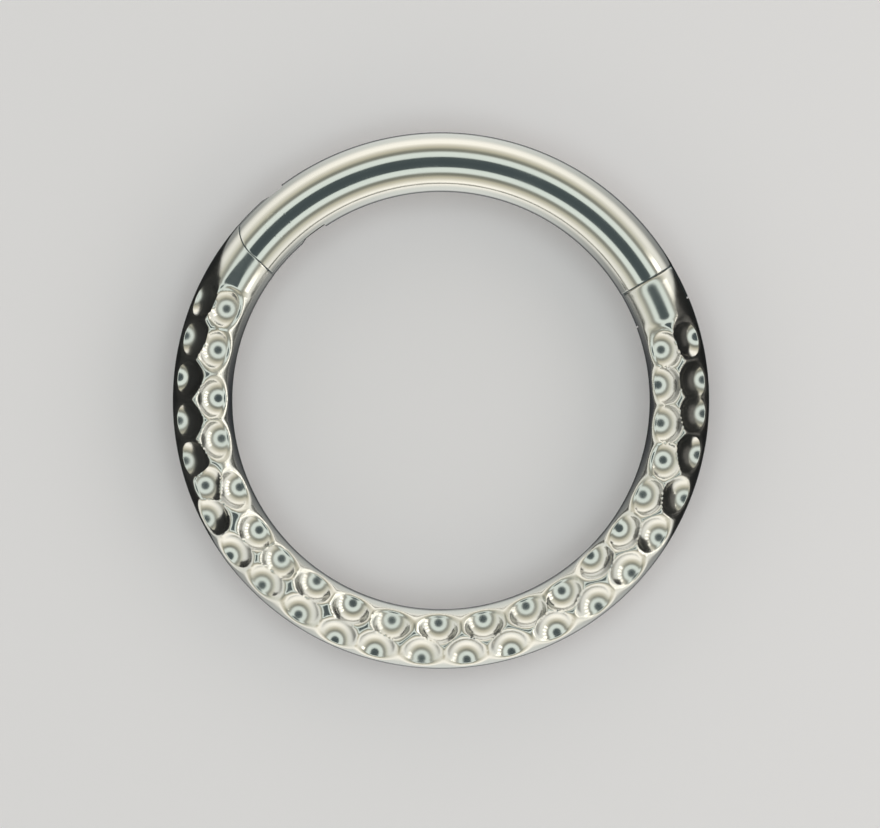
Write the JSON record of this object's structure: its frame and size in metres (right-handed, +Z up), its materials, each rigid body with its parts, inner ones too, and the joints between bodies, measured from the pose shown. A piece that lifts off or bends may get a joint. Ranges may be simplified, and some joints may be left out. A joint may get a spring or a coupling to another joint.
{
  "type": "hinged segment ring",
  "caption": "Round wire ring for a piercing: a smooth segment swings open on a hinge pin, and the rest of the ring is dimpled on both faces.",
  "frame": {"origin": "under the ring's centre, on the surface that the ring lies on", "axes": "+Z up along the ring's axis, +Y through the middle of the smooth segment, hinge on the -X side and clasp on the +X side"},
  "size_m": [0.009, 0.009, 0.001],
  "materials": {
    "dimpled_titanium": "polished titanium, dimpled with a ball cutter and tumbled bright",
    "smooth_titanium": "mirror-polished titanium wire",
    "pin_titanium": "polished titanium pin, ends flush with the wire"
  },
  "bodies": {
    "body": {"ring_body": "dimpled_titanium"},
    "segment": {"hinged_segment": "smooth_titanium", "hinge_pin": "pin_titanium"}
  },
  "joints": [
    {"name": "segment_hinge", "type": "hinge", "parent": "body", "child": "segment", "pos_m": [-0.00291, 0.00275, 0.0005], "axis": [0, 0, 1], "range_deg": [0, 85]}
  ]
}
